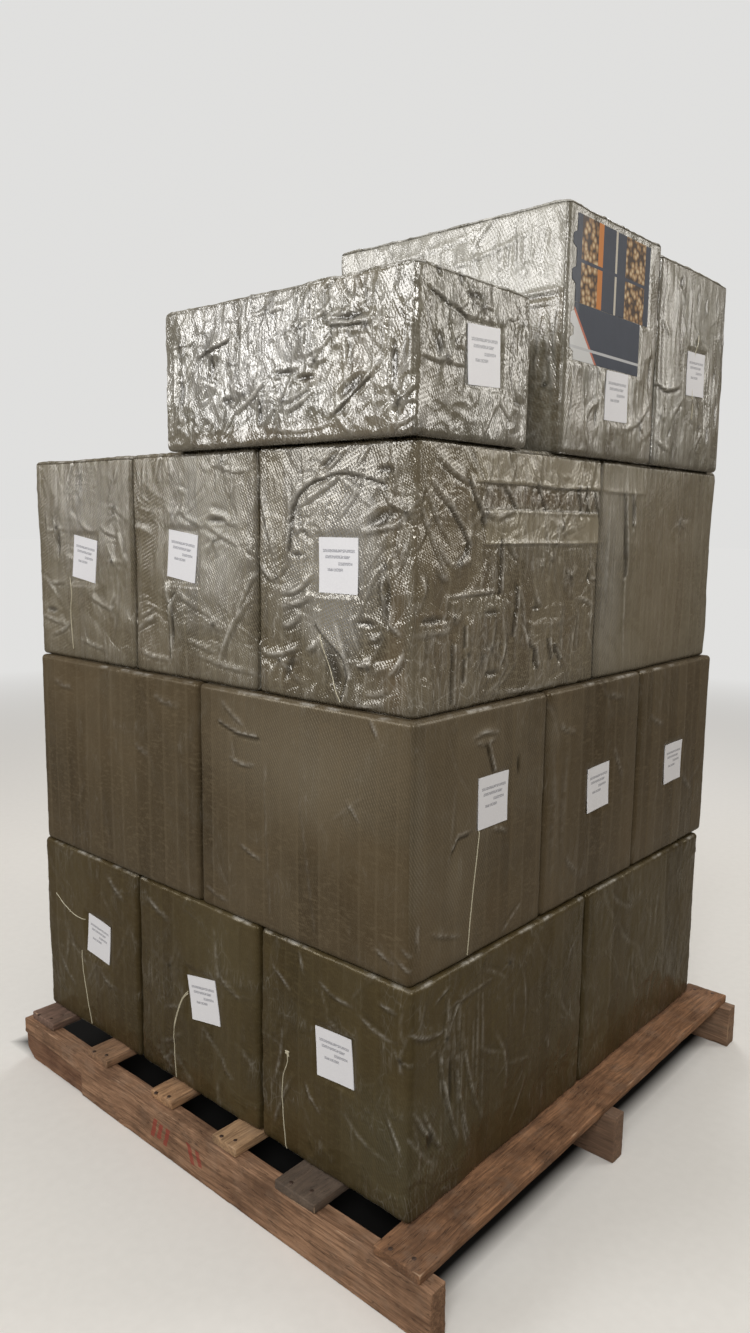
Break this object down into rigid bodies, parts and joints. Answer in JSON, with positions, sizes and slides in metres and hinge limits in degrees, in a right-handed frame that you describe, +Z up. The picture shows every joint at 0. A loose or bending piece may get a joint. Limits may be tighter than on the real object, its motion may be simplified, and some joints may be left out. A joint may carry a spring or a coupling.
{
  "type": "wrapped carton pallet load",
  "caption": "Cartons wrapped in woven cloth and clear film, stacked in stepped tiers on a worn stringer pallet.",
  "frame": {"origin": "on the floor under the middle of the pallet, which is the middle of the box around the whole load", "axes": "+X along the stringers to the right end of the load, +Y along the deck boards to the back, +Z up"},
  "size_m": [1.41, 1.4, 2.091],
  "materials": {
    "pallet_wood": "rough sawn pine, weathered and dusty",
    "film_wrapped_cloth": "olive grey woven cloth under glossy clear film",
    "carton_board": "plain brown corrugated board",
    "label_paper": "matt white paper",
    "printed_card": "coated die-cut card in dark slate with warm bands"
  },
  "bodies": {
    "root": {"card_lower": "printed_card", "card_upper": "printed_card", "carton_tier_1_front_left": "carton_board", "carton_tier_1_front_middle": "carton_board", "carton_tier_1_front_right": "carton_board", "carton_tier_1_rear_left": "carton_board", "carton_tier_1_rear_middle": "carton_board", "carton_tier_1_rear_right": "carton_board", "carton_tier_2_front_left": "carton_board", "carton_tier_2_front_right": "carton_board", "carton_tier_2_middle_left": "carton_board", "carton_tier_2_middle_right": "carton_board", "carton_tier_2_rear_left": "carton_board", "carton_tier_2_rear_right": "carton_board", "carton_tier_3_front_left": "carton_board", "carton_tier_3_front_middle": "carton_board", "carton_tier_3_front_right": "carton_board", "carton_tier_3_rear_left": "carton_board", "carton_tier_3_rear_middle": "carton_board", "carton_tier_3_rear_right": "carton_board", "carton_tier_4_low": "carton_board", "carton_tier_4_tall_front": "carton_board", "carton_tier_4_tall_rear": "carton_board", "deck_board_1": "pallet_wood", "deck_board_2": "pallet_wood", "deck_board_3": "pallet_wood", "deck_board_4": "pallet_wood", "deck_board_5": "pallet_wood", "deck_board_6": "pallet_wood", "labels_front": "label_paper", "labels_right": "label_paper", "stringer_front": "pallet_wood", "stringer_middle": "pallet_wood", "stringer_rear": "pallet_wood", "wrap_tier_1_front_left": "film_wrapped_cloth", "wrap_tier_1_front_middle": "film_wrapped_cloth", "wrap_tier_1_front_right": "film_wrapped_cloth", "wrap_tier_1_rear_left": "film_wrapped_cloth", "wrap_tier_1_rear_middle": "film_wrapped_cloth", "wrap_tier_1_rear_right": "film_wrapped_cloth", "wrap_tier_2_front_left": "film_wrapped_cloth", "wrap_tier_2_front_right": "film_wrapped_cloth", "wrap_tier_2_middle_left": "film_wrapped_cloth", "wrap_tier_2_middle_right": "film_wrapped_cloth", "wrap_tier_2_rear_left": "film_wrapped_cloth", "wrap_tier_2_rear_right": "film_wrapped_cloth", "wrap_tier_3_front_left": "film_wrapped_cloth", "wrap_tier_3_front_middle": "film_wrapped_cloth", "wrap_tier_3_front_right": "film_wrapped_cloth", "wrap_tier_3_rear_left": "film_wrapped_cloth", "wrap_tier_3_rear_middle": "film_wrapped_cloth", "wrap_tier_3_rear_right": "film_wrapped_cloth", "wrap_tier_4_low": "film_wrapped_cloth", "wrap_tier_4_tall_front": "film_wrapped_cloth", "wrap_tier_4_tall_rear": "film_wrapped_cloth"}
  },
  "joints": []
}
